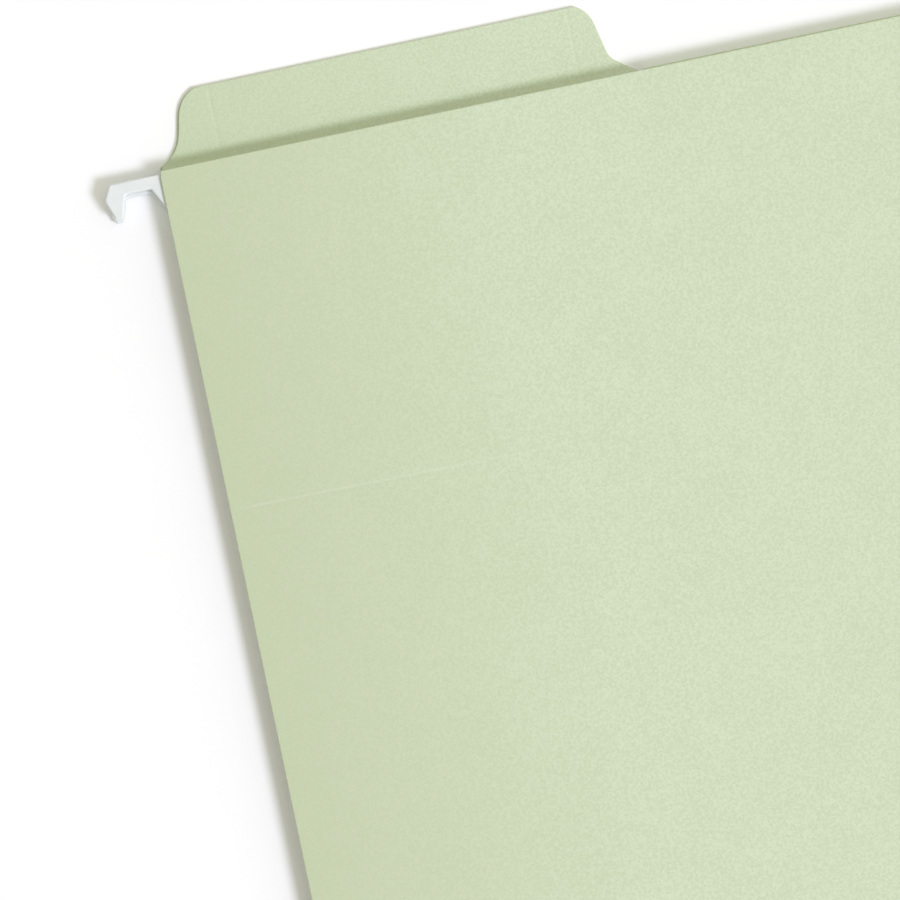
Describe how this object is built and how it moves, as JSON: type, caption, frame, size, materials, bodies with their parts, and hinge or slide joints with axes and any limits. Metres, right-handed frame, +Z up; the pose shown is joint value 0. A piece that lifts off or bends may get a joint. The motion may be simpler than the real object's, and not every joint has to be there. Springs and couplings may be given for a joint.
{
  "type": "hanging fastener folder",
  "caption": "Hanging fastener folder in pale green card, lying closed: one-third-cut tab, coated hooks on notched steel rods in the hems, paper fasteners bonded inside both panels.",
  "frame": {"origin": "on the table under the centre of the whole closed folder, hooks and tab included", "axes": "+X along the hanger rods, +Y up the panels from the bottom fold to the tab, +Z up from the table through the closed folder"},
  "size_m": [0.3231, 0.2514, 0.0053],
  "materials": {
    "card": "matte",
    "rod_steel": "satin",
    "hook_coat": "satin",
    "fibre_patch": "matte",
    "tinplate": "satin"
  },
  "bodies": {
    "rear": {"rear_panel": "card", "tab_reinforcing_ply": "card", "rear_hanger_rod": "rod_steel", "rear_hook_coat_left": "hook_coat", "rear_hook_coat_right": "hook_coat", "rear_fastener_base": "tinplate", "rear_fastener_patch": "fibre_patch", "rear_compressor_bar": "tinplate"},
    "gusset": {"gusset_strip": "card"},
    "front": {"front_panel": "card", "front_hanger_rod": "rod_steel", "front_hook_coat_left": "hook_coat", "front_hook_coat_right": "hook_coat", "front_fastener_base": "tinplate", "front_fastener_patch": "fibre_patch", "front_compressor_bar": "tinplate"},
    "rear_prong_upper": {"rear_prong_upper": "tinplate"},
    "rear_prong_lower": {"rear_prong_lower": "tinplate"},
    "rear_slider_upper": {"rear_slider_upper": "tinplate"},
    "rear_slider_lower": {"rear_slider_lower": "tinplate"},
    "front_prong_upper": {"front_prong_upper": "tinplate"},
    "front_prong_lower": {"front_prong_lower": "tinplate"},
    "front_slider_upper": {"front_slider_upper": "tinplate"},
    "front_slider_lower": {"front_slider_lower": "tinplate"}
  },
  "joints": [
    {"name": "gusset_fold", "type": "hinge", "parent": "rear", "child": "gusset", "pos_m": [0, -0.1257, 0], "axis": [1, 0, 0], "range_deg": [0, 90]},
    {"name": "cover_fold", "type": "hinge", "parent": "gusset", "child": "front", "pos_m": [0, -0.1257, 0.0053], "axis": [1, 0, 0], "range_deg": [0, 90]},
    {"name": "rear_prong_upper_bend", "type": "hinge", "parent": "rear", "child": "rear_prong_upper", "pos_m": [-0.13023, 0.02685, 0.00187], "axis": [-1, 0, 0], "range_deg": [0, 90]},
    {"name": "rear_prong_lower_bend", "type": "hinge", "parent": "rear", "child": "rear_prong_lower", "pos_m": [-0.13023, -0.04325, 0.00187], "axis": [1, 0, 0], "range_deg": [0, 90]},
    {"name": "front_prong_upper_bend", "type": "hinge", "parent": "front", "child": "front_prong_upper", "pos_m": [-0.13023, 0.02685, 0.00343], "axis": [1, 0, 0], "range_deg": [0, 90]},
    {"name": "front_prong_lower_bend", "type": "hinge", "parent": "front", "child": "front_prong_lower", "pos_m": [-0.13023, -0.04325, 0.00343], "axis": [-1, 0, 0], "range_deg": [0, 90]},
    {"name": "rear_slider_upper_slide", "type": "slide", "parent": "rear", "child": "rear_slider_upper", "axis": [0, 1, 0], "range_m": [0, 0.022]},
    {"name": "rear_slider_lower_slide", "type": "slide", "parent": "rear", "child": "rear_slider_lower", "axis": [0, -1, 0], "range_m": [0, 0.022]},
    {"name": "front_slider_upper_slide", "type": "slide", "parent": "front", "child": "front_slider_upper", "axis": [0, 1, 0], "range_m": [0, 0.022]},
    {"name": "front_slider_lower_slide", "type": "slide", "parent": "front", "child": "front_slider_lower", "axis": [0, -1, 0], "range_m": [0, 0.022]}
  ],
  "couplings": [
    {"joint": "rear_prong_upper_bend", "follows": "cover_fold", "ratio": 1},
    {"joint": "rear_prong_lower_bend", "follows": "cover_fold", "ratio": 1},
    {"joint": "front_prong_upper_bend", "follows": "cover_fold", "ratio": 1},
    {"joint": "front_prong_lower_bend", "follows": "cover_fold", "ratio": 1}
  ]
}
